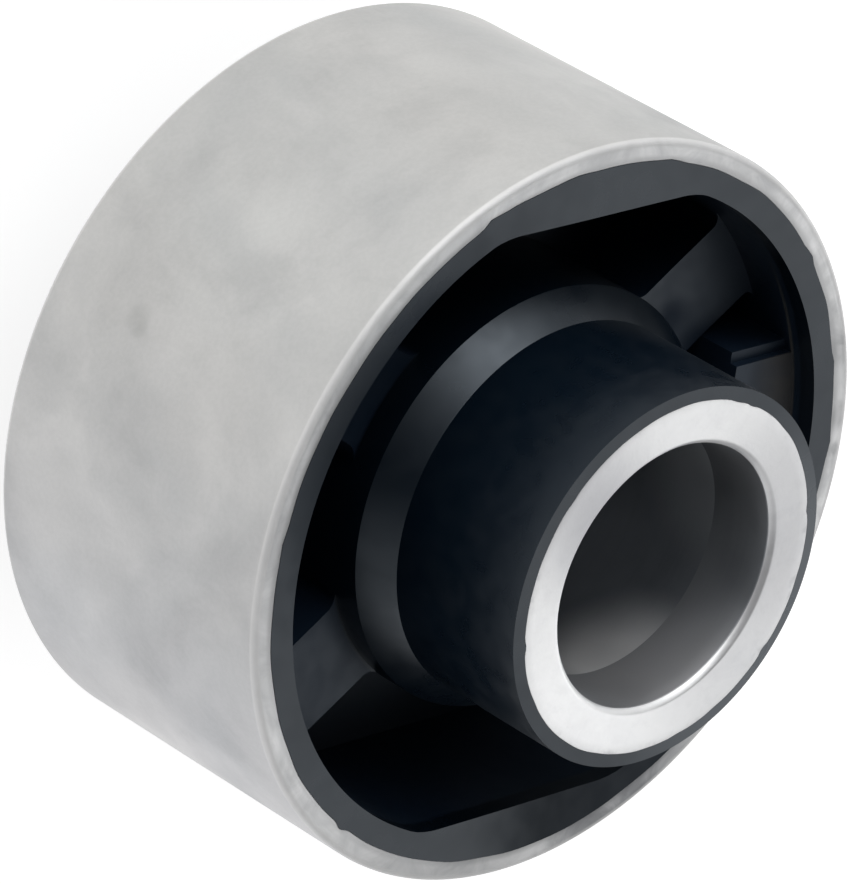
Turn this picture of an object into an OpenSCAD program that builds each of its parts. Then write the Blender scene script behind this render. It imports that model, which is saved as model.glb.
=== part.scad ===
// Rubber-to-metal suspension bush, standing on the end of its inner sleeve.
// An outer steel sleeve and a longer inner steel sleeve are joined by one
// rubber moulding: a liner with two flats, a hub, four arms, one side stop
// and a thin web on the middle plane. Origin: centre of the lower end face.
// +Z runs along the bore. The flats face along Y, the side stop is at -X.

/* [Outer sleeve] */
// Outside diameter of the outer sleeve (the press fit)
sleeve_od = 60; // [56:0.5:66]
// Wall thickness of the outer sleeve
sleeve_wall = 1.65; // [1.2:0.05:2.2]
// Length of the outer sleeve
sleeve_len = 29; // [26:0.5:34]
// Size of the rounded edge at both ends of the outer sleeve
sleeve_edge = 0.5; // [0.2:0.1:0.6]

/* [Inner sleeve] */
// Outside diameter of the inner sleeve
inner_od = 28.4; // [27:0.1:29]
// Bore through the middle of the inner sleeve
bore_d = 20.7; // [18:0.1:21]
// Width of the bore at each mouth, at the wide end of its lead-in taper
mouth_d = 21.2; // [21.1:0.1:22]
// Depth of the lead-in taper at each mouth
mouth_depth = 5.8; // [4:0.1:8]
// Chamfer at each mouth of the bore
mouth_chamfer = 0.45; // [0.2:0.05:0.7]
// Chamfer on the outer edge of each end face
rim_chamfer = 0.25; // [0.1:0.05:0.4]
// How far the inner sleeve stands out of the outer sleeve at each end
stand_out = 11.7; // [8:0.1:14]

/* [Rubber] */
// Rubber skin on the outside of the inner sleeve
skin_t = 1.05; // [0.8:0.05:1.3]
// Step down from the metal end face to the end of the rubber skin
skin_back = 0.05; // [0.05:0.01:0.4]
// Rubber liner inside the outer sleeve
liner_t = 2.1; // [1.5:0.1:2.5]
// Distance from the axis to each flat of the liner
flat_dist = 24.4; // [23.5:0.1:25.5]
// Diameter of the hub that the arms grow from
hub_d = 34.2; // [33.5:0.1:35]
// Depth of the hub's edge below the end of the outer sleeve
hub_back = 3.6; // [3:0.1:5]
// Depth of the top of the hub's cone below the end of the outer sleeve
cone_back = 1.1; // [0.6:0.1:2]
// Depth of the arm faces below the end of the outer sleeve
arm_back = 6.1; // [5:0.1:8]
// Width of an arm
arm_w = 7.8; // [6:0.1:9]
// Angle between the X axis and each arm
arm_deg = 34.6; // [32:0.1:38]
// Fillet where the sides of an arm meet the hub and the liner
arm_fillet = 1.2; // [0.6:0.1:1.6]
// Thickness of the web on the middle plane
web_t = 0.6; // [0.5:0.1:1.6]

/* [Side stop] */
// Distance from the axis to the inner face of the side stop
stop_dist = 19.35; // [18.6:0.05:23]
// Width of the side stop
stop_w = 14.4; // [12:0.1:14.6]
// Depth of the stop's ends below the ends of the outer sleeve
stop_back = 2.4; // [2:0.1:5]
// Width of the shoulder along each side of the stop
shoulder_w = 0.9; // [0.4:0.1:1]
// Depth of the shoulder below the stop's ends
shoulder_back = 0.7; // [0.4:0.1:2]

/* [Hidden] */
$fn = 128;
sleeve_r = sleeve_od / 2;
liner_or = sleeve_r - sleeve_wall;      // bond line of liner and outer sleeve
cav_r = liner_or - liner_t;             // round part of the cavity
inner_r = inner_od / 2;                 // bond line of skin and inner sleeve
skin_r = inner_r + skin_t;
hub_r = hub_d / 2;
z0 = stand_out;                         // lower end of the outer sleeve
z1 = stand_out + sleeve_len;            // upper end of the outer sleeve
top = sleeve_len + 2 * stand_out;       // upper end face of the inner sleeve
mid = top / 2;                          // middle plane
arms = [arm_deg, 180 - arm_deg, 180 + arm_deg, 360 - arm_deg];

// points of a quarter round between two straight edges, for turned profiles
function corner(cx, cz, r, a0, a1, n = 6) =
    [for (i = [0:n]) let (a = a0 + (a1 - a0) * i / n) [cx + r * cos(a), cz + r * sin(a)]];

module outer_sleeve() {
    e = sleeve_edge;
    color([0.74, 0.74, 0.73])
    rotate_extrude($fn = 180)
    polygon(concat(
        [[liner_or, z0], [sleeve_r - e, z0]],
        corner(sleeve_r - e, z0 + e, e, -90, 0),
        corner(sleeve_r - e, z1 - e, e, 0, 90),
        [[liner_or, z1]]));
}

// lead-in of the inner sleeve's bore, mouth up at z = h
module bore_mouth(h) {
    r1 = mouth_d / 2; r0 = bore_d / 2;
    translate([0, 0, h - mouth_depth]) cylinder(r1 = r0, r2 = r1, h = mouth_depth);
    translate([0, 0, h - mouth_chamfer])
        cylinder(r1 = r1, r2 = r1 + mouth_chamfer, h = mouth_chamfer);
}

module inner_sleeve() {
    c = rim_chamfer;
    color([0.86, 0.86, 0.87])
    difference() {
        rotate_extrude($fn = 128)
        polygon([[0, 0], [inner_r - c, 0], [inner_r, c], [inner_r, top - c], [inner_r - c, top], [0, top]]);
        translate([0, 0, -1]) cylinder(d = bore_d, h = top + 2);
        bore_mouth(top);
        translate([0, 0, top]) mirror([0, 0, 1]) bore_mouth(top);
    }
}

// rubber on the inner sleeve: the skin at both ends and the coned hub between
module hub() {
    rotate_extrude($fn = 128)
    polygon([
        [inner_r, skin_back], [skin_r - 0.2, skin_back], [skin_r, skin_back + 0.2],
        [skin_r, z0 + cone_back], [hub_r, z0 + hub_back],
        [hub_r, z1 - hub_back], [skin_r, z1 - cone_back],
        [skin_r, top - skin_back - 0.2], [skin_r - 0.2, top - skin_back], [inner_r, top - skin_back]]);
}

// rubber on the outer sleeve, flattened on the two Y sides
module liner() {
    translate([0, 0, z0])
    difference() {
        cylinder(r = liner_or, h = sleeve_len, $fn = 180);
        translate([0, 0, -1])
        intersection() {
            cylinder(r = cav_r, h = sleeve_len + 2, $fn = 180);
            translate([-40, -flat_dist, 0]) cube([80, 2 * flat_dist, sleeve_len + 2]);
        }
    }
}

// outline of one side's fillets on an arm that runs along +X
module arm_fillets_2d() {
    r = arm_fillet; cy = arm_w / 2 + r;
    cx1 = sqrt(pow(hub_r + r, 2) - cy * cy);
    k1 = hub_r / (hub_r + r);
    cx2 = sqrt(pow(cav_r - r, 2) - cy * cy);
    k2 = cav_r / (cav_r - r);
    difference() {
        polygon([[hub_r - 1.2, arm_w / 2 - 0.5], [cx1, arm_w / 2 - 0.5], [cx1, arm_w / 2], [k1 * cx1, k1 * cy], [k1 * cx1 - 0.9, k1 * cy - 0.6]]);
        translate([cx1, cy]) circle(r = r, $fn = 48);
    }
    difference() {
        polygon([[cx2, arm_w / 2 - 0.5], [cav_r + 0.8, arm_w / 2 - 0.5], [k2 * cx2 + 0.9, k2 * cy], [k2 * cx2, k2 * cy], [cx2, arm_w / 2]]);
        translate([cx2, cy]) circle(r = r, $fn = 48);
    }
}

module arm(a) {
    h = sleeve_len - 2 * arm_back;
    rotate([0, 0, a])
    translate([0, 0, z0 + arm_back]) {
        translate([hub_r - 1.2, -arm_w / 2, 0]) cube([cav_r + 0.8 - (hub_r - 1.2), arm_w, h]);
        linear_extrude(height = h) arm_fillets_2d();
        mirror([0, 1, 0]) linear_extrude(height = h) arm_fillets_2d();
    }
}

// side stop on the -X side: a block on the liner, with a lower shoulder along each side
module side_stop() {
    x1 = cav_r + 0.7;
    h = sleeve_len - 2 * stop_back;
    translate([-x1, -stop_w / 2, mid - h / 2]) cube([x1 - stop_dist, stop_w, h]);
    sw = stop_w + 2 * shoulder_w;
    sh = h - 2 * shoulder_back;
    translate([-x1, -sw / 2, mid - sh / 2]) cube([x1 - stop_dist, sw, sh]);
}

module web() {
    translate([0, 0, mid - web_t / 2])
    difference() {
        cylinder(r = cav_r + 0.7, h = web_t);
        translate([0, 0, -1]) cylinder(r = hub_r - 1, h = web_t + 2);
    }
}

module rubber_body() {
    color([0.13, 0.14, 0.16])
    union() {
        liner();
        hub();
        web();
        for (a = arms) arm(a);
        side_stop();
    }
}

outer_sleeve();
rubber_body();
inner_sleeve();
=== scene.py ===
import math
import bpy
import numpy as np
from mathutils import Matrix


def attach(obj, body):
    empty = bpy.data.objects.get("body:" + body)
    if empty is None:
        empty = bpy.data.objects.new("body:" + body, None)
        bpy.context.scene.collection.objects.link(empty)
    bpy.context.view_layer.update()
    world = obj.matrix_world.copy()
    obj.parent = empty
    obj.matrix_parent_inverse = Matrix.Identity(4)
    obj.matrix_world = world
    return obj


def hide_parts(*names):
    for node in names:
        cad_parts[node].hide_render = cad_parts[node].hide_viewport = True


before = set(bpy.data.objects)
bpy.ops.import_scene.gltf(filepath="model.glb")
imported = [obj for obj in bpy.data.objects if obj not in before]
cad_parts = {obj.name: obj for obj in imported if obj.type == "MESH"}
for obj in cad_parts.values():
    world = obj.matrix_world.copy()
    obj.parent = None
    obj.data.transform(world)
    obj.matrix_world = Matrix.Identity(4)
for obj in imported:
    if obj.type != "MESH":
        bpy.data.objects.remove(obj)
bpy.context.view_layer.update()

# ---------------------------------------------------------------- sizes, in mm
# z is measured from the middle plane of the bush; MID brings it into the frame
MM = 0.001
MID = 26.2
HALF_SLEEVE = 14.5
HALF_TUBE = 26.2
R_OUT, R_BOND, R_CAV, FLAT = 30.0, 28.35, 26.25, 24.4
R_HUB, R_SKIN, R_TUBE = 17.1, 15.25, 14.2
R_MOUTH, R_BORE, MOUTH_DEPTH = 10.6, 10.35, 5.8
ARM_TOP, ARM_HALF, ARM_DEG = 8.4, 3.9, 34.6
WEB = 0.3
STOP_IN, STOP_HALF, STOP_TOP, SHOULDER, SHOULDER_DROP = 19.35, 7.2, 12.1, 0.9, 0.7


# ---------------------------------------------------------------- small noises
def ring_noise(theta, seed, first, last, power=0.7):
    """A closed, smooth, repeatable wobble round the circle, about -1 to 1."""
    rng = np.random.RandomState(seed)
    out = np.zeros_like(theta)
    norm = 0.0
    for k in range(first, last + 1):
        a = 1.0 / k ** power
        out += a * np.cos(k * theta + rng.uniform(0, 2 * math.pi))
        norm += 0.5 * a * a
    return out / (2.2 * math.sqrt(norm))


def field_noise(p, seed, scale, octaves=3):
    """A smooth three-dimensional wobble built from a few dozen waves, about -1 to 1."""
    rng = np.random.RandomState(seed)
    out = np.zeros(p.shape[:-1])
    norm = 0.0
    for o in range(octaves):
        amp = 0.55 ** o
        for _ in range(9):
            d = rng.normal(size=3)
            d /= np.linalg.norm(d)
            f = 2 * math.pi / scale * (1.9 ** o) * rng.uniform(0.7, 1.3)
            out += amp * np.cos(p @ (d * f) + rng.uniform(0, 2 * math.pi))
            norm += 0.5 * amp * amp
    return out / (2.2 * math.sqrt(norm))


def bump_at(theta, at_deg, width_deg):
    """1 at a place round the circle, fading to 0 over the width."""
    d = (np.degrees(theta) - at_deg + 180.0) % 360.0 - 180.0
    return np.exp(-(d / width_deg) ** 2)


# ------------------------------------------------- ragged edges shared by pieces
def bond_wave(theta, front):
    """How far the rubber runs out over the sleeve's end, past the bond line."""
    s = 11 if front else 12
    w = -0.04 + 0.08 * ring_noise(theta, s, 2, 12, 0.6) + 0.045 * ring_noise(theta, s + 40, 13, 34, 0.4)
    w += 0.08 * np.maximum(0.0, ring_noise(theta, s + 80, 6, 26, 0.2)) ** 2
    if front:
        # small tears and lips at the places where the photo has them
        for at, wide, high in ((49.5, 1.3, 0.30), (194.0, 1.3, 0.14), (180.0, 1.8, 0.16), (352.0, 1.6, 0.14),
                               (293.4, 1.3, 0.34), (289.5, 3.4, 0.26), (257.0, 2.0, 0.14), (160.0, 1.2, 0.14), (216.0, 1.5, 0.24)):
            w += high * bump_at(theta, at, wide)
    return np.clip(w, -0.16, 0.55)


def skin_wave(theta, front):
    """How far the rubber skin runs in over the tube's end face."""
    s = 21 if front else 22
    w = 0.06 + 0.05 * ring_noise(theta, s, 2, 8, 0.6) + 0.018 * ring_noise(theta, s + 40, 9, 30, 0.5)
    w += 0.05 * np.maximum(0.0, ring_noise(theta, s + 80, 8, 30, 0.2)) ** 2
    for at, wide, high in ((10.0, 2.0, 0.16), (244.0, 2.2, 0.12), (190.0, 1.8, 0.14), (143.0, 2.0, 0.14), (322.0, 2.6, 0.08)):
        w += high * bump_at(theta, at, wide)
    if front:
        # the tube sits a little off centre in its skin
        w -= 0.31 * bump_at(theta, 146.0, 44.0) + 0.10 * bump_at(theta, 214.0, 18.0) + 0.03
    return np.clip(w, -0.40, 0.5)


# ---------------------------------------------------------------- mesh helpers
def to_object(name, verts, faces, normals=None, mat_index=None):
    me = bpy.data.meshes.new(name)
    v = np.array(verts, float).copy()
    v[:, 2] += MID
    me.from_pydata((v * MM).tolist(), [], [tuple(int(i) for i in f) for f in faces])
    me.update()
    me.shade_smooth()
    if mat_index is not None:
        me.polygons.foreach_set("material_index", np.asarray(mat_index, np.int32))
    if normals is not None:
        f = np.asarray(faces, np.int64)
        c = v[f]
        fn = np.cross(c[:, 2] - c[:, 0], c[:, 3] - c[:, 1])
        fn /= np.maximum(np.linalg.norm(fn, axis=1, keepdims=True), 1e-12)
        vn = np.asarray(normals, float)
        suits = (vn * fn[:, None]).sum(-1, keepdims=True) > math.cos(math.radians(35.0))
        me.normals_split_custom_set(np.where(suits, vn, fn[:, None]).reshape(-1, 3).tolist())
    ob = bpy.data.objects.new(name, me)
    bpy.context.scene.collection.objects.link(ob)
    return ob


def theta_lines():
    """Directions round the axis, closer together where an arm or a stop has its sides."""
    quad = [0.0]
    while quad[-1] < 90.0:
        t = quad[-1]
        fine = 15.0 <= t < 28.0 or 41.2 <= t < 52.0
        quad.append(t + (0.5 if fine else 1.6))
    q = np.array(quad)
    q = q * 90.0 / q[-1]
    half = np.concatenate([q[:-1], 180.0 - q[::-1][:-1]])
    full = np.concatenate([half, half + 180.0])
    return np.radians(full)


THETA = theta_lines()
NT = len(THETA)


def lathe(name, rings, normals_from=None, mat_of_ring=None):
    """A closed turned ring: rings is a list of (r, z), each a number or one value per direction."""
    c, s = np.cos(THETA), np.sin(THETA)
    pts = []
    for r, z in rings:
        r = np.broadcast_to(np.asarray(r, float), THETA.shape)
        z = np.broadcast_to(np.asarray(z, float), THETA.shape)
        pts.append(np.stack([r * c, r * s, z], 1))
    n = len(rings)
    verts = np.concatenate(pts)
    j = np.arange(NT)
    jn = (j + 1) % NT
    faces, mats = [], []
    for i in range(n):
        k = (i + 1) % n
        faces.append(np.stack([i * NT + j, i * NT + jn, k * NT + jn, k * NT + j], 1))
        mats.append(np.full(NT, 0 if mat_of_ring is None else mat_of_ring[i]))
    return to_object(name, verts, np.concatenate(faces), mat_index=np.concatenate(mats))


# ------------------------------------------------------------- the rubber's form
def r_and(a, b, r):
    u = np.maximum(r + a, 0.0)
    v = np.maximum(r + b, 0.0)
    return np.minimum(-r, np.maximum(a, b)) + np.sqrt(u * u + v * v)


def r_or(a, b, r):
    u = np.maximum(r - a, 0.0)
    v = np.maximum(r - b, 0.0)
    return np.maximum(r, np.minimum(a, b)) - np.sqrt(u * u + v * v)


CA, SA = math.cos(math.radians(ARM_DEG)), math.sin(math.radians(ARM_DEG))
CONE_N = np.array([2.5, 1.85]) / math.hypot(2.5, 1.85)


def rubber(p):
    """Signed distance to the free faces of the rubber, negative inside."""
    x, y, z = p[..., 0], p[..., 1], p[..., 2]
    r = np.sqrt(x * x + y * y)
    az, ax, ay = np.abs(z), np.abs(x), np.abs(y)
    # slight hollows and swells that the moulding has
    sw = 0.03 * np.sin(0.31 * x + 0.7) * np.cos(0.27 * y - 0.4)
    cav = r_and(r - R_CAV, ay - FLAT, 0.5)
    liner = np.maximum(-cav, az - (HALF_SLEEVE - 0.03 + sw))
    hub = np.maximum(r - R_HUB, (r - R_SKIN) * CONE_N[0] + (az - (HALF_SLEEVE - 1.1)) * CONE_N[1])
    skin = np.maximum(r - R_SKIN, az - (HALF_TUBE - 0.05))
    # the arms: filleted in plan, cut off level at their faces
    t = np.abs(-ax * SA + ay * CA)
    plan = r_or(np.minimum(r - R_HUB, -cav), t - ARM_HALF, 1.0)
    arm = np.maximum(plan, az - (ARM_TOP + 2.0 * sw))
    d = np.minimum(np.minimum(np.minimum(hub, skin), np.minimum(liner, arm)), az - WEB)
    # the side stop, with a lower shoulder along each side
    top = az - STOP_TOP
    stop = np.minimum(np.maximum(ay - STOP_HALF, top), np.maximum(ay - (STOP_HALF + SHOULDER), top + SHOULDER_DROP))
    d = np.minimum(d, np.maximum(STOP_IN + x, stop))
    return d


def grad(f, p, h=0.01):
    g = np.empty_like(p)
    for a in range(3):
        e = np.zeros(3)
        e[a] = h
        g[..., a] = (f(p + e) - f(p - e)) / (2 * h)
    return g


def lines(*spans):
    """Grid lines: each span is (start, end, step); ends are shared."""
    out = []
    for a, b, step in spans:
        n = max(1, int(round((b - a) / step)))
        out.extend(np.linspace(a, b, n, endpoint=False).tolist())
    out.append(spans[-1][1])
    return np.array(out)


def make_rubber():
    rl = lines((R_TUBE, 14.6, 0.2), (14.6, 15.55, 0.14), (15.55, 16.7, 0.4), (16.7, 17.4, 0.12), (17.4, 18.2, 0.3),
               (18.2, 19.2, 0.5), (19.2, 20.9, 0.28), (20.9, 25.3, 0.65), (25.3, 25.9, 0.3), (25.9, 26.6, 0.12), (26.6, R_BOND, 0.45))
    zf = lines((0.0, 0.2, 0.2), (0.2, 0.7, 0.17), (0.7, 1.1, 0.4), (1.1, 7.4, 1.26), (7.4, 7.9, 0.25), (7.9, 8.95, 0.15),
               (8.95, 10.7, 0.6), (10.7, 12.3, 0.2), (12.3, 13.1, 0.4), (13.1, 13.65, 0.14), (13.65, 14.05, 0.4),
               (14.05, 14.62, 0.115), (14.62, 25.5, 1.8), (25.5, 26.3, 0.12))
    zb = -lines((0.0, 0.2, 0.2), (0.2, 0.8, 0.3), (0.8, 7.6, 1.7), (7.6, 8.8, 0.3), (8.8, 10.8, 0.7), (10.8, 12.4, 0.32),
                (12.4, 13.9, 0.4), (13.9, 14.7, 0.2), (14.7, 25.4, 1.8), (25.4, 26.4, 0.2))
    zl = np.concatenate([zb[::-1][:-1], zf])
    nr, nz = len(rl), len(zl)
    dth = (np.roll(THETA, -1) - THETA) % (2 * math.pi)
    R, T, Z = np.meshgrid(rl, THETA, zl, indexing="ij")
    F = rubber(np.stack([R * np.cos(T), R * np.sin(T), Z], -1))
    inside = F < 0
    nk = nz - 1
    mr = inside[:-1] != inside[1:]
    mt = inside != np.roll(inside, -1, 1)
    mz = inside[:, :, :-1] != inside[:, :, 1:]

    # every grid line that goes through the surface, and the four cells round it
    starts, stops, cell, hit, total = [], [], [], [], 0
    for mask, (di, dj, dk), cells in (
            (mr, (1, 0, 0), [(0, 0, 0), (0, -1, 0), (0, 0, -1), (0, -1, -1)]),
            (mt, (0, 1, 0), [(0, 0, 0), (-1, 0, 0), (0, 0, -1), (-1, 0, -1)]),
            (mz, (0, 0, 1), [(0, 0, 0), (-1, 0, 0), (0, -1, 0), (-1, -1, 0)])):
        i, j, k = np.nonzero(mask)
        starts.append(np.stack([rl[i], THETA[j], zl[k]], 1))
        stops.append(np.stack([rl[i + di], THETA[j] + dj * dth[j], zl[k + dk]], 1))
        for a, b, c in cells:
            ii, jj, kk = i + a, (j + b) % NT, k + c
            ok = (ii >= 0) & (ii < nr - 1) & (kk >= 0) & (kk < nk)
            cell.append(((ii * NT + jj) * nk + kk)[ok])
            hit.append((total + np.arange(len(i)))[ok])
        total += len(i)
    a, b = np.concatenate(starts), np.concatenate(stops)
    cell, hit = np.concatenate(cell), np.concatenate(hit)

    def cart(q):
        return np.stack([q[:, 0] * np.cos(q[:, 1]), q[:, 0] * np.sin(q[:, 1]), q[:, 2]], 1)

    sa = rubber(cart(a)) < 0
    for _ in range(10):
        m = 0.5 * (a + b)
        same = ((rubber(cart(m)) < 0) == sa)[:, None]
        a, b = np.where(same, m, a), np.where(same, b, m)
    x = cart(0.5 * (a + b))
    n = grad(rubber, x, 0.002)
    n /= np.maximum(np.linalg.norm(n, axis=1, keepdims=True), 1e-9)

    # one vertex a cell, where the tangent planes at its crossings meet
    uid, inv = np.unique(cell, return_inverse=True)
    inv = inv.reshape(-1)
    count = np.bincount(inv).astype(float)
    mean = np.stack([np.bincount(inv, weights=x[hit, c]) for c in range(3)], 1) / count[:, None]
    nh = n[hit]
    off = (nh * (x[hit] - mean[inv])).sum(1)
    A = np.empty((len(uid), 3, 3))
    B = np.empty((len(uid), 3))
    for c in range(3):
        B[:, c] = np.bincount(inv, weights=nh[:, c] * off)
        for e in range(c, 3):
            A[:, c, e] = A[:, e, c] = np.bincount(inv, weights=nh[:, c] * nh[:, e])
    A += 0.004 * count[:, None, None] * np.eye(3)
    delta = np.linalg.solve(A, B[..., None])[..., 0]
    ck = uid % nk
    cj = (uid // nk) % NT
    ci = uid // (nk * NT)
    reach = 0.7 * np.sqrt(np.diff(rl)[ci] ** 2 + (rl[ci + 1] * dth[cj]) ** 2 + np.diff(zl)[ck] ** 2)
    delta *= np.minimum(1.0, reach / np.maximum(np.linalg.norm(delta, axis=1), 1e-9))[:, None]
    pos = mean + delta
    ident = np.full((nr - 1) * NT * nk, -1, np.int64)
    ident[uid] = np.arange(len(uid))
    ident = ident.reshape(nr - 1, NT, nk)

    faces = []

    def add(mask, inner, cells, flip):
        i, j, k = np.nonzero(mask)
        c = [ident[i + a, (j + b) % NT, k + e] for a, b, e in cells]
        f = np.stack(c, 1)
        away = inner[i, j, k] ^ flip
        f[~away] = f[~away][:, ::-1]
        faces.append(f[(f >= 0).all(1)])

    inner_cells = slice(1, nz - 1)
    mm = np.zeros_like(mr)
    mm[:, :, inner_cells] = mr[:, :, inner_cells]
    add(mm, inside[:-1], [(0, -1, -1), (0, 0, -1), (0, 0, 0), (0, -1, 0)], False)
    mm = np.zeros_like(mt)
    mm[1:-1, :, inner_cells] = mt[1:-1, :, inner_cells]
    add(mm, inside, [(-1, 0, -1), (-1, 0, 0), (0, 0, 0), (0, 0, -1)], False)
    mm = np.zeros_like(mz)
    mm[1:-1] = mz[1:-1]
    add(mm, inside[:, :, :-1], [(-1, -1, 0), (0, -1, 0), (0, 0, 0), (-1, 0, 0)], False)
    faces = np.concatenate(faces)

    # settle each vertex on the true surface
    p = pos
    for _ in range(3):
        d = rubber(p)
        g = grad(rubber, p, 0.003)
        step = d[:, None] * g / np.maximum((g * g).sum(1, keepdims=True), 0.2)
        ln = np.linalg.norm(step, axis=1, keepdims=True)
        p = p - step * np.minimum(1.0, 0.25 / np.maximum(ln, 1e-9))
    # a normal for each corner of each face, taken just inside the face
    v = p[faces]
    corner = grad(rubber, v + 0.1 * (v.mean(1, keepdims=True) - v), 0.003)
    corner /= np.maximum(np.linalg.norm(corner, axis=-1, keepdims=True), 1e-9)

    # the ragged edges: over the sleeve's ends outside, over the tube's ends inside
    extra_v, extra_n, extra_f = [], [], []
    base = len(p)

    def loop_ids(sel_i, front):
        ids = np.full(NT, -1, np.int64)
        pick = (ci == sel_i) & ((ck >= len(zb)) if front else (ck < len(zb) - 1))
        ids[cj[pick]] = np.nonzero(pick)[0]
        return ids

    out_f, out_b = loop_ids(nr - 2, True), loop_ids(nr - 2, False)
    in_f, in_b = loop_ids(0, True), loop_ids(0, False)
    for ids in (out_f, out_b, in_f, in_b):
        assert (ids >= 0).all()
    th_mid = THETA
    for ids, front in ((out_f, True), (out_b, False)):
        w = bond_wave(th_mid, front)
        s = 1 if front else -1
        rr_ = R_BOND + w
        p[ids] = np.stack([rr_ * np.cos(th_mid), rr_ * np.sin(th_mid), np.full(NT, s * (HALF_SLEEVE + 0.015))], 1)
    for ids, front in ((in_f, True), (in_b, False)):
        w = skin_wave(th_mid, front)
        s = 1 if front else -1
        rr_ = R_TUBE - w
        p[ids] = np.stack([rr_ * np.cos(th_mid), rr_ * np.sin(th_mid), np.full(NT, s * (HALF_TUBE - 0.004))], 1)

    def ring(r, z, n_r, n_z):
        r = np.broadcast_to(np.asarray(r, float), th_mid.shape)
        z = np.broadcast_to(np.asarray(z, float), th_mid.shape)
        extra_v.append(np.stack([r * np.cos(th_mid), r * np.sin(th_mid), z], 1))
        extra_n.append(np.stack([n_r * np.cos(th_mid), n_r * np.sin(th_mid), np.full(NT, float(n_z))], 1))
        return base + (len(extra_v) - 1) * NT + np.arange(NT)

    def strip(a, b, flip):
        an, bn = np.roll(a, -1), np.roll(b, -1)
        f = np.stack([a, an, bn, b], 1)
        extra_f.append(f[:, ::-1] if flip else f)

    # outside: down the ragged recess to the bond line, and straight to the other end
    wf, wb = bond_wave(th_mid, True), bond_wave(th_mid, False)
    chain = [out_f,
             ring(R_BOND + wf, HALF_SLEEVE - 0.25, 1, 0), ring(R_BOND, HALF_SLEEVE - 0.7, 1, 0),
             ring(R_BOND, -HALF_SLEEVE + 0.7, 1, 0), ring(R_BOND + wb, -HALF_SLEEVE + 0.25, 1, 0),
             out_b]
    for a, b in zip(chain[:-1], chain[1:]):
        strip(a, b, True)
    vf, vb = skin_wave(th_mid, True), skin_wave(th_mid, False)
    chain = [in_f,
             ring(R_TUBE - vf, HALF_TUBE - 0.16, -1, 0), ring(R_TUBE, HALF_TUBE - 0.7, -1, 0),
             ring(R_TUBE, -HALF_TUBE + 0.7, -1, 0), ring(R_TUBE - vb, -HALF_TUBE + 0.16, -1, 0),
             in_b]
    for a, b in zip(chain[:-1], chain[1:]):
        strip(a, b, False)
    verts = np.concatenate([p] + extra_v)
    norms = np.concatenate([np.zeros_like(p)] + extra_n)
    extra = np.concatenate(extra_f)
    return to_object("rubber_moulding", verts, np.concatenate([faces, extra]), normals=np.concatenate([corner, norms[extra]]))


def arc(cr, cz, rad, a0, a1, n):
    return [(cr + rad * math.cos(math.radians(a0 + (a1 - a0) * i / n)),
             cz + rad * math.sin(math.radians(a0 + (a1 - a0) * i / n))) for i in range(n + 1)]


def make_sleeve():
    wf, wb = bond_wave(THETA, True), bond_wave(THETA, False)
    e = 0.5
    h = HALF_SLEEVE
    rough = 0.03 * ring_noise(THETA, 31, 20, 90, 0.2)
    rings = []
    # front end face, from the ragged inner edge outwards
    rings.append((R_BOND + wf, h - 0.25))
    rings.append((R_BOND + wf, h - 0.03))
    rings.append((R_BOND + wf + 0.06, h + 0.0 * rough))
    for k, r in enumerate(np.linspace(29.05, R_OUT - e, 4)):
        rings.append((np.maximum(r, R_BOND + wf + 0.08 + 0.02 * k), h - 0.02 + 0.03 * ring_noise(THETA, 50 + k, 6, 60, 0.4)))
    rings += arc(R_OUT - e, h - e, e, 90, 0, 7)[1:]
    for z in np.linspace(h - e - 0.8, -(h - e - 0.8), 14):
        rings.append((R_OUT, z))
    rings += arc(R_OUT - e, -(h - e), e, 0, -90, 7)[:-1]
    for k, r in enumerate(np.linspace(R_OUT - e, 29.05, 4)):
        rings.append((np.maximum(r, R_BOND + wb + 0.08 + 0.02 * (3 - k)), -h + 0.02 - 0.03 * ring_noise(THETA, 60 + k, 6, 60, 0.4)))
    rings.append((R_BOND + wb + 0.06, -h))
    rings.append((R_BOND + wb, -h + 0.03))
    rings.append((R_BOND + wb, -h + 0.25))
    rings.append((R_BOND, -h + 0.7))
    rings.append((R_BOND, h - 0.7))
    rings = rings[::-1]
    return lathe("outer_sleeve_shell", rings)


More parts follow.
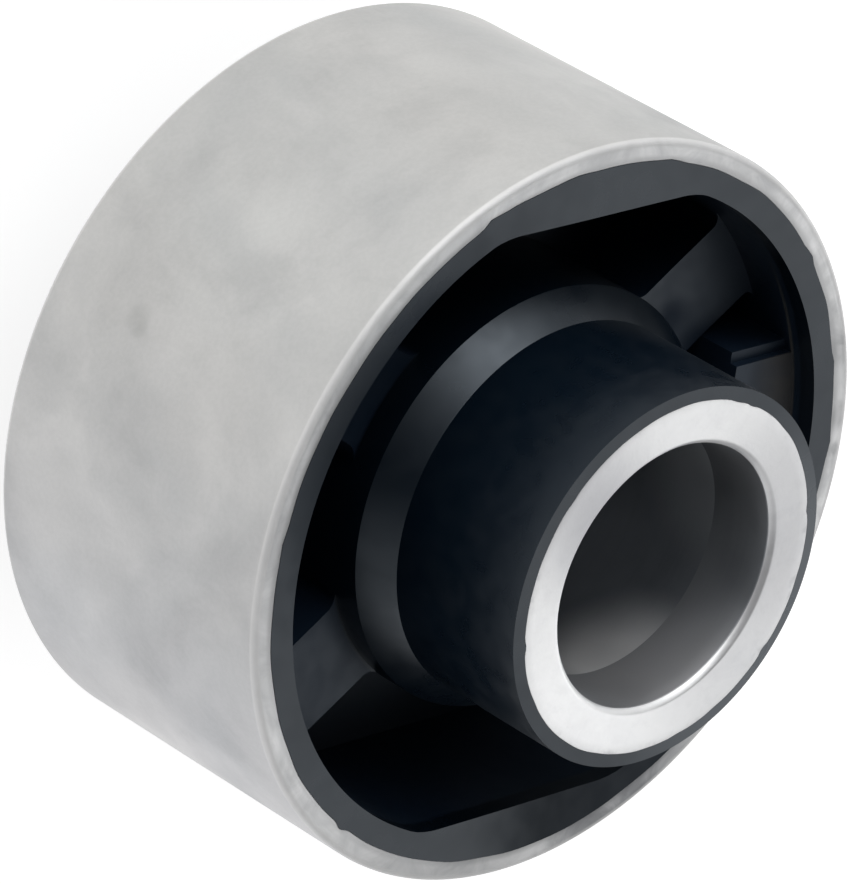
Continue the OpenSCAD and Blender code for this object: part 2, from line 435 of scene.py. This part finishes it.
def make_tube():
    h = HALF_TUBE
    vf, vb = skin_wave(THETA, True), skin_wave(THETA, False)
    rings, mats = [], []

    def put(r, z, m):
        rings.append((r, z))
        mats.append(m)

    def end(s, v):
        seq = [(R_TUBE, s * (h - 0.7)), (R_TUBE - v, s * (h - 0.16)), (R_TUBE - v, s * (h - 0.02)), (R_TUBE - v - 0.05, s * h)]
        for r in (13.4, 12.9, 12.4, 11.9, 11.5):
            seq.append((r, s * h))
        seq += [(R_MOUTH + 0.55, s * h), (R_MOUTH + 0.45, s * (h - 0.01)), (R_MOUTH + 0.36, s * (h - 0.06)), (R_MOUTH + 0.16, s * (h - 0.25)), (R_MOUTH + 0.04, s * (h - 0.41)), (R_MOUTH, s * (h - 0.55))]
        return seq

    front = end(1, vf)
    for i, (r, z) in enumerate(front):
        put(r, z, 0 if i < len(front) - 2 else 1)

    def taper(depth):
        return R_MOUTH + (R_BORE - R_MOUTH) * depth / MOUTH_DEPTH

    for depth in (2.0, 4.0, MOUTH_DEPTH - 0.12):
        put(taper(depth), h - depth, 1)
    put(R_BORE, h - MOUTH_DEPTH, 1)
    put(R_BORE, h - MOUTH_DEPTH - 0.12, 2)
    for z in np.linspace(h - MOUTH_DEPTH - 2.0, -(h - MOUTH_DEPTH - 2.0), 9):
        put(R_BORE, z, 2)
    put(R_BORE, -(h - MOUTH_DEPTH - 0.12), 2)
    put(R_BORE, -(h - MOUTH_DEPTH), 1)
    for depth in (MOUTH_DEPTH - 0.12, 4.0, 2.0):
        put(taper(depth), -(h - depth), 1)
    back = end(-1, vb)[::-1]
    for i, (r, z) in enumerate(back):
        put(r, z, 1 if i < 1 else 0)
    rings, mats = rings[::-1], mats[::-1]
    # a strip between two rings takes the material of the later ring's name
    mats = mats[1:] + mats[:1]
    return lathe("inner_sleeve_tube", rings, mat_of_ring=mats)


# ---------------------------------------------------------------- materials
class Mat:
    """A small helper for building node materials."""

    def __init__(self, name, **values):
        self.m = bpy.data.materials.new(name)
        self.m.use_nodes = True
        self.nt = self.m.node_tree
        self.nt.nodes.clear()
        self.out = self.nt.nodes.new("ShaderNodeOutputMaterial")
        self.bsdf = self.nt.nodes.new("ShaderNodeBsdfPrincipled")
        self.nt.links.new(self.bsdf.outputs[0], self.out.inputs[0])
        for k, v in values.items():
            self.bsdf.inputs[k.replace("_", " ")].default_value = v
        self.geo = self.nt.nodes.new("ShaderNodeTexCoord").outputs["Object"]

    def link(self, a, b):
        self.nt.links.new(a, b)

    def noise(self, scale, detail=3.0, rough=0.5, vec=None, distort=0.0):
        n = self.nt.nodes.new("ShaderNodeTexNoise")
        n.inputs["Scale"].default_value = scale
        n.inputs["Detail"].default_value = detail
        n.inputs["Roughness"].default_value = rough
        n.inputs["Distortion"].default_value = distort
        self.link(vec or self.geo, n.inputs["Vector"])
        return n.outputs["Fac"]

    def scaled(self, sx, sy, sz):
        n = self.nt.nodes.new("ShaderNodeMapping")
        n.inputs["Scale"].default_value = (sx, sy, sz)
        self.link(self.geo, n.inputs["Vector"])
        return n.outputs["Vector"]

    def ramp(self, fac, stops):
        n = self.nt.nodes.new("ShaderNodeValToRGB")
        el = n.color_ramp.elements
        while len(el) > len(stops):
            el.remove(el[-1])
        while len(el) < len(stops):
            el.new(0.5)
        for e, (pos, col) in zip(el, stops):
            e.position = pos
            c = (col, col, col) if not hasattr(col, "__len__") else col
            e.color = (*c, 1.0)
        self.link(fac, n.inputs["Fac"])
        return n.outputs["Color"]

    def map(self, val, a, b, c, d, smooth=True):
        n = self.nt.nodes.new("ShaderNodeMapRange")
        n.interpolation_type = "SMOOTHSTEP" if smooth else "LINEAR"
        for k, v in (("From Min", a), ("From Max", b), ("To Min", c), ("To Max", d)):
            n.inputs[k].default_value = v
        self.link(val, n.inputs["Value"])
        return n.outputs["Result"]

    def math(self, op, a, b=None, c=None, clamp=False):
        n = self.nt.nodes.new("ShaderNodeMath")
        n.operation = op
        n.use_clamp = clamp
        for i, v in enumerate((a, b, c)):
            if v is None:
                continue
            if isinstance(v, (int, float)):
                n.inputs[i].default_value = v
            else:
                self.link(v, n.inputs[i])
        return n.outputs[0]

    def mix(self, fac, a, b, mode="MIX"):
        n = self.nt.nodes.new("ShaderNodeMix")
        n.data_type = "RGBA"
        n.blend_type = mode
        for sock, v in ((n.inputs[0], fac), (n.inputs[6], a), (n.inputs[7], b)):
            if isinstance(v, (int, float)):
                sock.default_value = v
            elif isinstance(v, tuple):
                sock.default_value = (*v, 1.0)
            else:
                self.link(v, sock)
        return n.outputs[2]

    def near(self, x, y, z, inner, outer):
        """1 within inner metres of a point, 0 beyond outer."""
        n = self.nt.nodes.new("ShaderNodeVectorMath")
        n.operation = "DISTANCE"
        self.link(self.geo, n.inputs[0])
        n.inputs[1].default_value = (x, y, z)
        return self.map(n.outputs["Value"], inner, outer, 1.0, 0.0)

    def axis(self, which):
        n = self.nt.nodes.new("ShaderNodeSeparateXYZ")
        self.link(self.geo, n.inputs[0])
        return n.outputs[which]

    def radius(self):
        x, y = self.axis(0), self.axis(1)
        return self.math("SQRT", self.math("ADD", self.math("MULTIPLY", x, x), self.math("MULTIPLY", y, y)))

    def bump(self, height, strength, distance, chain=None):
        n = self.nt.nodes.new("ShaderNodeBump")
        n.inputs["Strength"].default_value = strength
        n.inputs["Distance"].default_value = distance
        self.link(height, n.inputs["Height"])
        if chain is not None:
            self.link(chain, n.inputs["Normal"])
        return n.outputs["Normal"]

    def set(self, name, sock):
        self.link(sock, self.bsdf.inputs[name])


def polar(r, deg, z):
    """A point in the frame, metres, from a radius, a direction and a height over the middle plane in mm."""
    a = math.radians(deg)
    return r * math.cos(a) * MM, r * math.sin(a) * MM, (MID + z) * MM


def sleeve_material():
    m = Mat("sleeve_steel", Metallic=0.9, Specular_IOR_Level=0.5)
    broad = m.noise(30.0, 3.0, 0.6, distort=0.6)
    cloud = m.noise(75.0, 4.0, 0.62, distort=0.5)
    mid = m.noise(260.0, 4.0, 0.6)
    fine = m.noise(2600.0, 3.0, 0.6)
    # cloudy satin finish, warmer on one side and cooler on the other
    col = m.ramp(broad, [(0.28, SLEEVE_LO), (0.5, SLEEVE_MID), (0.72, SLEEVE_HI)])
    col = m.mix(m.map(cloud, 0.48, 0.68, 0.0, 0.75), col, (0.90, 0.90, 0.905), "MULTIPLY")
    col = m.mix(m.map(cloud, 0.30, 0.46, 0.75, 0.0), col, (1.10, 1.095, 1.09), "MULTIPLY")
    col = m.mix(m.map(mid, 0.50, 0.75, 0.0, 0.30), col, (0.85, 0.85, 0.85), "MULTIPLY")
    col = m.mix(m.map(fine, 0.38, 0.62, 0.0, 0.34), col, (0.91, 0.91, 0.91), "MULTIPLY")
    side = m.math("MULTIPLY_ADD", m.axis(1), 20.0, 0.40, clamp=True)
    col = m.mix(side, col, m.mix(1.0, col, (1.005, 1.005, 1.050), "MULTIPLY"))
    for deg, z, inner, outer, tone in ((-70.0, -11.0, 3.0, 17.0, (0.955, 0.955, 0.955)), (-24.0, -8.0, 4.0, 15.0, (0.955, 0.955, 0.955)),
                                       (32.0, 9.0, 4.0, 16.0, (1.05, 1.05, 1.055)), (-78.0, 4.0, 2.0, 10.0, (0.915, 0.915, 0.915)),
                                       (-44.0, -2.0, 1.0, 8.5, (1.10, 1.10, 1.095)), (-20.0, 6.0, 1.5, 8.5, (0.920, 0.920, 0.920)),
                                       (24.0, -9.0, 2.0, 11.0, (1.12, 1.12, 1.12)), (-28.0, -7.0, 1.0, 7.0, (0.945, 0.945, 0.945))):
        px, py, pz = polar(30.0, deg, z)
        col = m.mix(m.near(px, py, pz, inner * MM, outer * MM), col, tone, "MULTIPLY")
    # oil smudges on the wall
    for (x, y, z), inner, outer, k in ((polar(30.0, 333.4, -5.0), 0.0003, 0.0016, 0.20), (polar(30.0, 334.6, -4.3), 0.0001, 0.0010, 0.12),
                                       (polar(30.0, 329.0, 5.1), 0.0003, 0.0020, 0.07), (polar(30.0, 303.0, -3.0), 0.0010, 0.0075, 0.06)):
        spot = m.math("MULTIPLY", m.near(x, y, z, inner, outer), m.map(cloud, 0.30, 0.60, 0.55, 1.0))
        col = m.mix(m.math("MULTIPLY", spot, k), col, (0.10, 0.10, 0.095))
    # the end faces: scuffed, with dark oxide and rubber traces towards the inner edge, and painted shade over the
    # side around 70° to 120°
    z = m.axis(2)
    end = m.map(m.math("ABSOLUTE", m.math("SUBTRACT", z, MID * MM)), (HALF_SLEEVE - 0.35) * MM, (HALF_SLEEVE - 0.08) * MM, 0.0, 1.0)
    scuff = m.noise(210.0, 4.0, 0.65, distort=1.0)
    endcol = m.ramp(scuff, [(0.30, END_LO), (0.52, END_MID), (0.74, END_HI)])
    # painted shade: the end face is painted darker around 70° and 118°
    for deg, outer, tone in ((70.0, 17.0, 0.84), (118.0, 17.0, 0.84)):
        x, y, zz = polar(29.2, deg, HALF_SLEEVE)
        endcol = m.mix(m.near(x, y, zz, 0.004, outer * MM), endcol, (tone, tone, tone), "MULTIPLY")
    # dark patches on the end face: the small ones from 178° to 196° are marks, the broad ones at 84° and 112° are
    # painted shade
    for deg, wide, k in ((112.0, 9.5, 0.62), (84.0, 6.5, 0.30), (184.0, 1.6, 0.45), (196.0, 1.8, 0.35), (178.5, 0.8, 0.40)):
        x, y, zz = polar(29.2, deg, HALF_SLEEVE)
        patch = m.math("MULTIPLY", m.near(x, y, zz, 0.0003 * wide, 0.0011 * wide), m.map(scuff, 0.35, 0.6, 1.0, 0.65))
        endcol = m.mix(m.math("MULTIPLY", patch, k), endcol, (0.10, 0.105, 0.115))
    inner = m.map(m.radius(), 28.5 * MM, 28.9 * MM, 0.22, 0.0)
    endcol = m.mix(m.math("MULTIPLY", inner, m.map(scuff, 0.40, 0.60, 0.3, 1.0)), endcol, (0.12, 0.125, 0.13))
    col = m.mix(end, col, endcol)
    # painted highlight: the rounded edge is painted brighter where the wall turns into the end face, and made rougher
    # there
    edge_highlight = m.math("MULTIPLY", m.map(m.math("ABSOLUTE", m.math("SUBTRACT", z, MID * MM)), 13.95 * MM, 14.15 * MM, 0.0, 1.0),
                  m.map(m.radius(), 29.35 * MM, 29.6 * MM, 0.0, 1.0))
    col = m.mix(m.math("MULTIPLY", edge_highlight, 0.65), col, (0.77, 0.77, 0.77))
    m.set("Base Color", col)
    m.set("Roughness", m.math("ADD", m.map(cloud, 0.3, 0.7, 0.50, 0.60), m.math("MULTIPLY", edge_highlight, 0.20)))
    n = m.bump(fine, 0.25, 0.00004)
    n = m.bump(mid, 0.22, 0.00016, n)
    m.set("Normal", n)
    return m.m


def rubber_material():
    m = Mat("moulded_rubber", Metallic=0.0, Specular_IOR_Level=RUBBER_SPEC, Specular_Tint=(0.80, 0.90, 1.0, 1.0))
    broad = m.noise(110.0, 2.5, 0.5, distort=0.2)
    streak = m.noise(1.0, 3.0, 0.6, vec=m.scaled(420.0, 420.0, 130.0))
    mid = m.noise(520.0, 1.5, 0.5)
    col = m.ramp(broad, [(0.3, (0.0008, 0.0034, 0.0075)), (0.7, (0.0018, 0.0054, 0.0108))])
    # a little grey bloom wiped over the moulding
    bloom = m.math("MULTIPLY", m.map(broad, 0.46, 0.70, 0.0, 1.0), m.map(streak, 0.40, 0.66, 0.25, 1.0))
    col = m.mix(m.math("MULTIPLY", bloom, 0.40), col, (0.0070, 0.0095, 0.0125))
    up = m.math("ABSOLUTE", m.math("SUBTRACT", m.axis(2), MID * MM))
    r = m.radius()
    # the pockets are duller than the faces and painted a lighter navy, painted fill light in their shade; the stop's
    # worn face is dull and a little brown
    pocket = m.math("MULTIPLY", m.map(r, 17.15 * MM, 17.4 * MM, 0.0, 1.0), m.map(up, 12.7 * MM, 13.2 * MM, 1.0, 0.0))
    worn = m.math("MULTIPLY", m.map(m.axis(0), -24.5 * MM, -20.0 * MM, 1.0, 0.0), m.map(up, 11.9 * MM, 12.03 * MM, 0.0, 1.0))
    worn = m.math("MULTIPLY", worn, m.map(up, 12.2 * MM, 12.4 * MM, 1.0, 0.0))
    # painted light: the pocket colour is lighter and bluer than the faces, standing in for light in their shade
    col = m.mix(m.math("MULTIPLY", pocket, 0.9), col, (0.0020, 0.0082, 0.0200))
    col = m.mix(m.math("MULTIPLY", worn, m.map(streak, 0.3, 0.7, 0.75, 1.0)), col, (0.036, 0.0335, 0.0315))
    # a paler place on the cone, a painted highlight where its sheen runs over the top
    x, y, z = polar(16.2, -113.0, 12.6)
    col = m.mix(m.math("MULTIPLY", m.near(x, y, z, 0.0015, 0.0075), 0.6), col, (0.0150, 0.0180, 0.0215))
    # painted reflection: the skin's end face is painted paler on one side
    x, y, z = polar(14.7, 155.0, HALF_TUBE)
    face = m.math("MULTIPLY", m.near(x, y, z, 0.0060, 0.0200), m.map(up, 26.08 * MM, 26.13 * MM, 0.0, 1.0))
    col = m.mix(face, col, (0.086, 0.094, 0.104))
    # matt places on the liner's end face and at the root of one arm
    x, y, z = polar(18.6, 180.0 + ARM_DEG, ARM_TOP)
    root = m.near(x, y, z, 0.0002, 0.0026)
    x, y, z = polar(27.3, 113.0, HALF_SLEEVE)
    dull = m.near(x, y, z, 0.0060, 0.0185)
    m.set("Base Color", col)
    rough = m.math("ADD", m.map(mid, 0.3, 0.72, 0.27, 0.34), m.map(broad, 0.35, 0.68, 0.04, -0.03))
    rough = m.math("ADD", rough, m.math("MULTIPLY", pocket, 0.20))
    rough = m.math("ADD", rough, m.math("MULTIPLY", dull, 0.45))
    rough = m.math("ADD", rough, m.math("MULTIPLY", worn, 0.26))
    rough = m.math("ADD", rough, m.math("MULTIPLY", root, 0.30))
    m.set("Roughness", rough)
    n = m.bump(mid, 0.12, 0.00008)
    n = m.bump(broad, 0.10, 0.00030, n)
    m.set("Normal", n)
    return m.m


def cut_face_material():
    m = Mat("cut_steel_face", Metallic=0.9, Specular_IOR_Level=0.5)
    broad = m.noise(130.0, 4.0, 0.62, distort=0.7)
    grain = m.noise(900.0, 4.0, 0.7)
    fine = m.noise(3200.0, 4.0, 0.65)
    col = m.ramp(broad, [(0.28, CUT_LO), (0.52, CUT_MID), (0.75, CUT_HI)])
    col = m.mix(m.map(grain, 0.48, 0.72, 0.0, 0.18), col, (0.80, 0.80, 0.81), "MULTIPLY")
    # painted reflection and shade: the cut face is painted lighter around 52° and darker around 146° and 198°, and
    # darker still beside the bore's edge around 321°
    for deg, rad, inner, outer, k, tone in ((52.0, 12.5, 2.0, 13.5, 0.8, (1.14, 1.14, 1.14)), (198.0, 12.5, 2.0, 13.5, 0.9, (0.73, 0.73, 0.74)),
                                            (146.0, 12.5, 2.0, 13.5, 0.7, (0.79, 0.79, 0.80)), (321.0, 10.9, 0.5, 9.0, 0.95, (0.60, 0.60, 0.62))):
        x, y, z = polar(rad, deg, HALF_TUBE)
        col = m.mix(m.math("MULTIPLY", m.near(x, y, z, inner * MM, outer * MM), k), col, tone, "MULTIPLY")
    # scratches and small dark nicks along the outer edge
    edge = m.map(m.radius(), 13.55 * MM, 14.1 * MM, 0.0, 1.0)
    nick = m.map(m.noise(420.0, 3.0, 0.6), 0.55, 0.70, 0.0, 1.0)
    col = m.mix(m.math("MULTIPLY", m.math("MULTIPLY", edge, nick), 0.30), col, (0.30, 0.31, 0.33))
    m.set("Base Color", col)
    m.set("Roughness", m.map(broad, 0.3, 0.7, 0.44, 0.54))
    n = m.bump(fine, 0.25, 0.00004)
    n = m.bump(broad, 0.12, 0.0004, n)
    m.set("Normal", n)
    return m.m


def bore_material(name, low, high, painted_depth_shade, painted_light_spots):
    m = Mat(name, Metallic=0.85, Specular_IOR_Level=0.5)
    broad = m.noise(110.0, 3.0, 0.6)
    ring = m.noise(1.0, 3.0, 0.6, vec=m.scaled(60.0, 60.0, 1500.0))
    fine = m.noise(1800.0, 4.0, 0.65)
    col = m.ramp(broad, [(0.3, low), (0.7, high)])
    col = m.mix(m.map(ring, 0.42, 0.70, 0.0, 0.14), col, (0.72, 0.72, 0.74), "MULTIPLY")
    # painted shade: the wall is painted darker towards the middle of the bore, and the spots below are painted light
    # and shade on the wall
    up = m.math("ABSOLUTE", m.math("SUBTRACT", m.axis(2), MID * MM))
    col = m.mix(m.map(up, 6.0 * MM, 21.0 * MM, painted_depth_shade, 0.0), col, (0.07, 0.074, 0.082))
    for deg, z, inner, outer, k, tone in painted_light_spots:
        px, py, pz = polar(R_BORE, deg, z)
        col = m.mix(m.math("MULTIPLY", m.near(px, py, pz, inner * MM, outer * MM), k), col, tone)
    m.set("Base Color", col)
    m.set("Roughness", m.map(broad, 0.3, 0.7, 0.42, 0.52))
    n = m.bump(fine, 0.3, 0.00004)
    n = m.bump(ring, 0.10, 0.00006, n)
    m.set("Normal", n)
    return m.m


# finishes
SLEEVE_LO, SLEEVE_MID, SLEEVE_HI = (0.422, 0.429, 0.429), (0.506, 0.506, 0.498), (0.588, 0.583, 0.569)
END_LO, END_MID, END_HI = (0.50, 0.505, 0.515), (0.62, 0.625, 0.63), (0.75, 0.75, 0.755)
CUT_LO, CUT_MID, CUT_HI = (0.72, 0.725, 0.735), (0.84, 0.845, 0.85), (0.93, 0.93, 0.935)
RUBBER_SPEC = 0.50


# ---------------------------------------------------------------- the pieces
sleeve = make_sleeve()
sleeve.data.materials.append(sleeve_material())
rub = make_rubber()
rub.data.materials.append(rubber_material())
tube = make_tube()
tube.data.materials.append(cut_face_material())
# each bore finish: its number is the painted shade towards the middle, its list the painted light and shade spots on
# the wall
tube.data.materials.append(bore_material("bore_mouth_steel", (0.28, 0.295, 0.315), (0.35, 0.365, 0.385), 0.0, (
    (105.0, 24.0, 2.0, 11.0, 0.8, (0.50, 0.50, 0.515)), (222.0, 24.0, 2.0, 10.0, 0.7, (0.17, 0.175, 0.185)))))
tube.data.materials.append(bore_material("bore_steel", (0.215, 0.232, 0.255), (0.28, 0.30, 0.325), 0.5, (
    (101.0, 20.0, 2.0, 8.0, 1.0, (0.98, 0.98, 0.98)), (205.0, 19.5, 2.5, 9.0, 0.75, (0.62, 0.64, 0.66)))))
for ob, node in ((sleeve, "outer_sleeve"), (rub, "rubber_body"), (tube, "inner_sleeve")):
    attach(ob, "root")
    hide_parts(node)

# the frame's own solids are hidden by the pieces above, and still get a finish
for node, mat in (("outer_sleeve", sleeve.data.materials[0]), ("rubber_body", rub.data.materials[0]), ("inner_sleeve", tube.data.materials[0])):
    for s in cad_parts[node].material_slots:
        s.material = mat

# ---------------------------------------------------------------- floor
fm = bpy.data.meshes.new("floor")
S = 4.0
fm.from_pydata([(-S, -S, 0), (S, -S, 0), (S, S, 0), (-S, S, 0)], [], [(0, 1, 2, 3)])
floor = bpy.data.objects.new("floor", fm)
bpy.context.scene.collection.objects.link(floor)
f = Mat("pale_floor", Roughness=0.9, Specular_IOR_Level=0.2, Emission_Color=(1.0, 1.0, 1.0, 1.0), Emission_Strength=0.790)
f.set("Base Color", f.ramp(f.noise(3.0, 2.0), [(0.3, (0.46, 0.46, 0.46)), (0.7, (0.50, 0.50, 0.50))]))
fm.materials.append(f.m)

# ---------------------------------------------------------------- light
# soft round glows over the set: direction, height in degrees, strength
SOFTBOXES = (
    (22.5, 6.0, 0.933), (45.0, 6.0, 0.446), (67.5, 6.0, 1.753), (90.0, 6.0, 0.464), (157.5, 6.0, 1.845),
    (180.0, 6.0, 0.84), (202.5, 6.0, 0.659), (225.0, 6.0, 0.6), (292.5, 6.0, 2.537), (315.0, 6.0, 1.49),
    (31.0, 26.0, 0.381), (247.0, 26.0, 0.798), (271.0, 26.0, 4.473), (65.5, 46.0, 0.418), (98.2, 46.0, 0.889),
    (130.9, 46.0, 0.795), (163.6, 46.0, 1.248),
)
GLOW = 18.0

world = bpy.data.worlds.new("studio")
bpy.context.scene.world = world
world.use_nodes = True
wn = world.node_tree
wn.nodes.clear()


def wnode(kind, **props):
    n = wn.nodes.new(kind)
    for k, v in props.items():
        setattr(n, k, v)
    return n


wout = wnode("ShaderNodeOutputWorld")
way = wnode("ShaderNodeTexCoord").outputs["Generated"]
total = None
for az, el, power in SOFTBOXES:
    a, e = math.radians(az), math.radians(el)
    dot = wnode("ShaderNodeVectorMath", operation="DOT_PRODUCT")
    wn.links.new(way, dot.inputs[0])
    dot.inputs[1].default_value = (math.cos(e) * math.cos(a), math.cos(e) * math.sin(a), math.sin(e))
    fall = wnode("ShaderNodeMath", operation="MULTIPLY_ADD")
    wn.links.new(dot.outputs["Value"], fall.inputs[0])
    fall.inputs[1].default_value, fall.inputs[2].default_value = GLOW, -GLOW
    ex = wnode("ShaderNodeMath", operation="EXPONENT")
    wn.links.new(fall.outputs[0], ex.inputs[0])
    add = wnode("ShaderNodeMath", operation="MULTIPLY_ADD")
    wn.links.new(ex.outputs[0], add.inputs[0])
    add.inputs[1].default_value = power
    if total is None:
        add.inputs[2].default_value = 0.0
    else:
        wn.links.new(total, add.inputs[2])
    total = add.outputs[0]
lit = wnode("ShaderNodeBackground")
lit.inputs["Color"].default_value = (1.0, 1.0, 1.0, 1.0)
wn.links.new(total, lit.inputs["Strength"])
# the backdrop behind everything is plain white
backdrop = wnode("ShaderNodeBackground")
backdrop.inputs["Color"].default_value = (1.0, 1.0, 1.0, 1.0)
backdrop.inputs["Strength"].default_value = 1.0
pick = wnode("ShaderNodeMixShader")
wn.links.new(wnode("ShaderNodeLightPath").outputs["Is Camera Ray"], pick.inputs[0])
wn.links.new(lit.outputs[0], pick.inputs[1])
wn.links.new(backdrop.outputs[0], pick.inputs[2])
wn.links.new(pick.outputs[0], wout.inputs[0])
bpy.context.scene.view_settings.view_transform = "Standard"

# ---------------------------------------------------------------- camera
cam_data = bpy.data.cameras.new("camera")
cam = bpy.data.objects.new("camera", cam_data)
bpy.context.scene.collection.objects.link(cam)
cam_data.sensor_fit = "AUTO"
cam_data.sensor_width = 36.0
cam_data.lens = 7885.1 / 884.0 * 36.0
cam_data.shift_x = -0.51 / 884.0
cam_data.shift_y = 0.54 / 884.0
cam_data.clip_start = 0.01
cam_data.clip_end = 50.0
right = (-0.737406, -0.125321, 0.663720)
up = (-0.194304, -0.901742, -0.386140)
back = (0.646902, -0.413711, 0.640600)
cam.matrix_world = Matrix((
    (right[0], up[0], back[0], 0.38583131),
    (right[1], up[1], back[1], -0.24633525),
    (right[2], up[2], back[2], 0.40770425),
    (0, 0, 0, 1)))
bpy.context.scene.camera = cam
